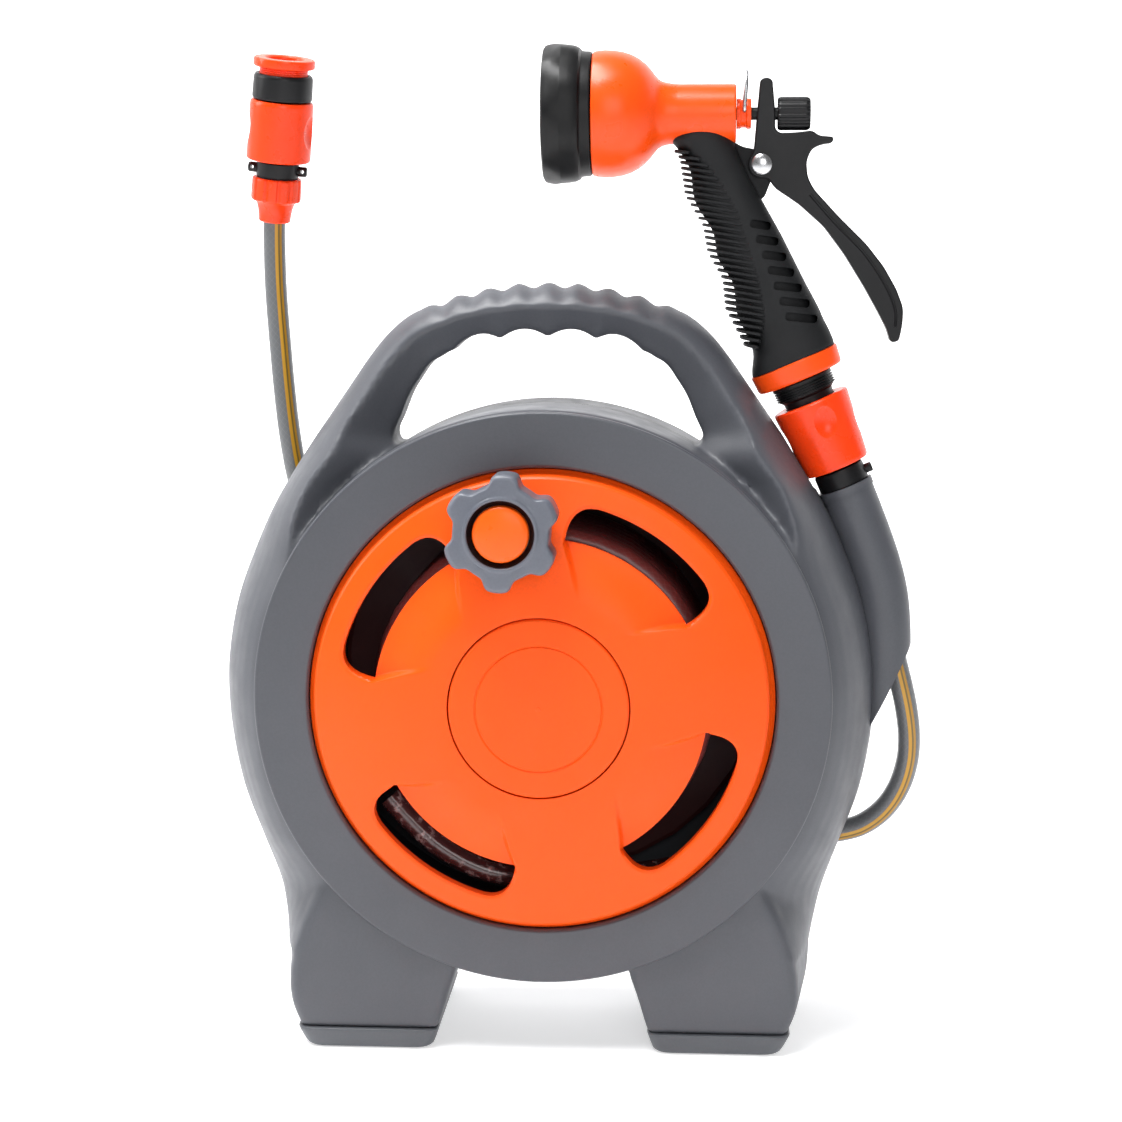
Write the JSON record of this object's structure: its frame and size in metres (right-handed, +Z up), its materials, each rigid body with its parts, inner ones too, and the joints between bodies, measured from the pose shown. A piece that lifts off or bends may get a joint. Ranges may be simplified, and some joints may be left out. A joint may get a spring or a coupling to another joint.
{
  "type": "garden hose reel",
  "caption": "Portable garden hose reel with a carrying handle, a front disc turned by a crank knob, a short tail with a tap connector and a spray gun parked in a side holster.",
  "frame": {"origin": "centre of the box of all the solids except the hose and its tap connector, at floor level, under the feet", "axes": "+Z up, -Y towards the front disc and the crank knob, +X towards the spray gun; the reel's axis runs along Y"},
  "size_m": [0.3422, 0.1706, 0.4801],
  "materials": {
    "black_plastic": "moulded near-black plastic, satin",
    "bush_white": "off-white bearing plastic",
    "button_orange": "moulded bright orange plastic, slightly glossy",
    "casing_grey": "moulded mid grey plastic with a fine satin texture",
    "coupling_orange": "moulded bright orange plastic, slightly glossy",
    "dial_black": "moulded near-black plastic, satin",
    "disc_orange": "moulded bright orange plastic, satin",
    "face_grey": "moulded mid grey plastic",
    "foot_grey": "moulded mid grey plastic",
    "grip_black": "soft near-black moulded grip",
    "gun_orange": "moulded bright orange plastic, slightly glossy",
    "holster_grey": "moulded mid grey plastic",
    "hose_vinyl": "slightly clear grey vinyl with fine yellow stripes",
    "knob_grey": "moulded mid grey plastic",
    "plain_steel": "bright plated steel",
    "ring_grey": "moulded mid grey plastic, a little smoother than the shells",
    "seal_rubber": "black rubber"
  },
  "bodies": {
    "casing": {"front_casing": "casing_grey", "rear_casing": "casing_grey", "casing_screw_1": "plain_steel", "casing_screw_2": "plain_steel", "casing_screw_3": "plain_steel", "casing_screw_4": "plain_steel", "casing_screw_5": "plain_steel", "casing_screw_6": "plain_steel", "foot_cap_left": "foot_grey", "foot_cap_right": "foot_grey", "bezel_ring": "ring_grey", "water_axle": "black_plastic", "axle_retainer": "plain_steel", "axle_flange_plate": "black_plastic", "axle_seal": "seal_rubber", "inlet_elbow": "black_plastic", "inlet_hose_nut": "coupling_orange", "hose_lead": "hose_vinyl", "spray_hose": "hose_vinyl", "tail_hose": "hose_vinyl", "hose_clip_lower": "black_plastic", "hose_clip_upper": "black_plastic", "hose_port_grommet": "seal_rubber", "gun_holster": "holster_grey", "gun_hose_connector": "black_plastic", "tap_hose_nut": "coupling_orange", "tap_connector_body": "black_plastic"},
    "drum": {"front_disc": "disc_orange", "hub_cap": "disc_orange", "drum_spool": "black_plastic", "flange_screw_1": "plain_steel", "flange_screw_2": "plain_steel", "flange_screw_3": "plain_steel", "flange_screw_4": "plain_steel", "crank_pin": "button_orange", "crank_pin_washer": "plain_steel", "front_bush": "bush_white", "rear_bush": "bush_white", "hose_winding": "hose_vinyl"},
    "knob": {"crank_knob": "knob_grey"},
    "gun": {"grip_end_ring": "gun_orange", "grip": "grip_black", "gun_body": "gun_orange", "valve_gland_nut": "gun_orange", "gun_inlet_adaptor": "black_plastic", "dial_spindle": "black_plastic", "trigger_pivot_pin": "plain_steel"},
    "dial": {"pattern_dial": "dial_black", "spray_face": "face_grey"},
    "trigger": {"trigger_lever": "black_plastic"},
    "valve": {"valve_stem": "black_plastic"},
    "adjuster": {"flow_adjuster": "black_plastic"},
    "bail": {"trigger_lock_bail": "plain_steel"},
    "gun_collar": {"gun_connector_collar": "coupling_orange"},
    "tap_collar": {"tap_connector_collar": "coupling_orange"},
    "tap_swivel": {"tap_adaptor": "black_plastic", "tap_thread_reducer": "coupling_orange"}
  },
  "joints": [
    {"name": "drum_spin", "type": "hinge", "parent": "casing", "child": "drum", "pos_m": [-0.00858, 0.01908, 0.172], "axis": [0, 1, 0], "continuous": true},
    {"name": "knob_spin", "type": "hinge", "parent": "drum", "child": "knob", "pos_m": [-0.02416, 0.01908, 0.25607], "axis": [0, 1, 0], "continuous": true},
    {"name": "gun_swivel", "type": "hinge", "parent": "casing", "child": "gun", "pos_m": [0.10912, 0.01308, 0.3297], "axis": [-0.3907, 0, 0.9205], "range_deg": [-90, 90]},
    {"name": "dial_turn", "type": "hinge", "parent": "gun", "child": "dial", "pos_m": [-0.00858, 0.01308, 0.4465], "axis": [1, 0, 0], "continuous": true},
    {"name": "trigger_squeeze", "type": "hinge", "parent": "gun", "child": "trigger", "pos_m": [0.09282, 0.01308, 0.4227], "axis": [0, 1, 0], "range_deg": [0, 14], "stiffness_Nm_per_rad": 1.5, "springref_deg": -8.59},
    {"name": "valve_travel", "type": "slide", "parent": "gun", "child": "valve", "axis": [1, 0, 0], "range_m": [0, 0.0068]},
    {"name": "flow_turn", "type": "hinge", "parent": "valve", "child": "adjuster", "pos_m": [0.10142, 0.01308, 0.4465], "axis": [1, 0, 0], "range_deg": [-360, 360]},
    {"name": "bail_swing", "type": "hinge", "parent": "gun", "child": "bail", "pos_m": [0.08442, 0.01308, 0.4477], "axis": [0, 1, 0], "range_deg": [-8, 12]},
    {"name": "gun_collar_release", "type": "slide", "parent": "casing", "child": "gun_collar", "axis": [0.3907, 0, -0.9205], "range_m": [0, 0.0035], "stiffness_N_per_m": 800, "springref_m": -0.003},
    {"name": "tap_collar_release", "type": "slide", "parent": "casing", "child": "tap_collar", "axis": [-0.107, 0.155, -0.9821], "range_m": [0, 0.002], "stiffness_N_per_m": 800, "springref_m": -0.003},
    {"name": "tap_swivel_turn", "type": "hinge", "parent": "casing", "child": "tap_swivel", "pos_m": [-0.14918, 0.05208, 0.3958], "axis": [0.107, -0.155, 0.9821], "continuous": true}
  ],
  "couplings": [
    {"joint": "valve_travel", "follows": "trigger_squeeze", "m_per_rad": 0.0265}
  ]
}
